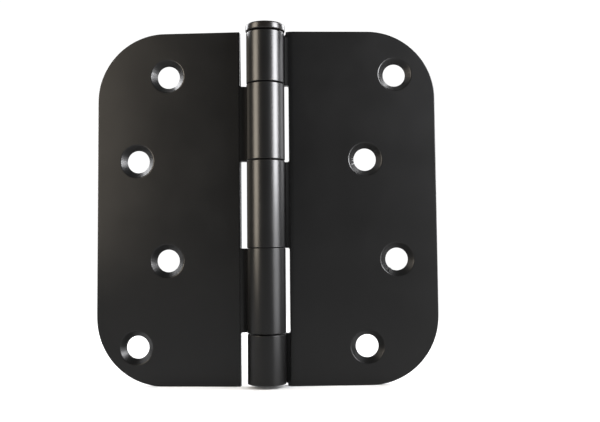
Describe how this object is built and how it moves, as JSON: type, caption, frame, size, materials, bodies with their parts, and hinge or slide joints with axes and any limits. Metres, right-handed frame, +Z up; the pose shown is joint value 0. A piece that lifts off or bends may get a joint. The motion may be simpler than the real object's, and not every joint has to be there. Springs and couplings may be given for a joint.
{
  "type": "door hinge",
  "caption": "Loose-pin butt hinge with round-cornered leaves, zig-zag countersunk screw holes, interlaced rolled knuckles and a button-head pin.",
  "frame": {"origin": "on the pin's axis, at the barrel's flush bottom face, which the plug closes and which sits 1 mm above the leaves' bottom edges", "axes": "+Z up along the pin towards its head; the three-knuckle leaf lies along +X with its back to +Y, and the countersunk faces look to -Y"},
  "size_m": [0.0977, 0.0136, 0.1031],
  "materials": {
    "leaf_black": "satin black coating on pressed steel sheet, fine grain",
    "pin_black": "satin black coating on turned steel, a little glossier and warmer than the leaves"
  },
  "bodies": {
    "frame_side": {"frame_leaf": "leaf_black", "bottom_plug": "pin_black"},
    "door_side": {"door_leaf": "leaf_black"},
    "pin": {"hinge_pin": "pin_black"}
  },
  "joints": [
    {"name": "leaf_swing", "type": "hinge", "parent": "frame_side", "child": "door_side", "pos_m": [0, 0, 0], "axis": [0, 0, 1], "range_deg": [-116, 185.7]},
    {"name": "pin_lift", "type": "slide", "parent": "frame_side", "child": "pin", "axis": [0, 0, 1], "range_m": [0, 0.097]}
  ]
}
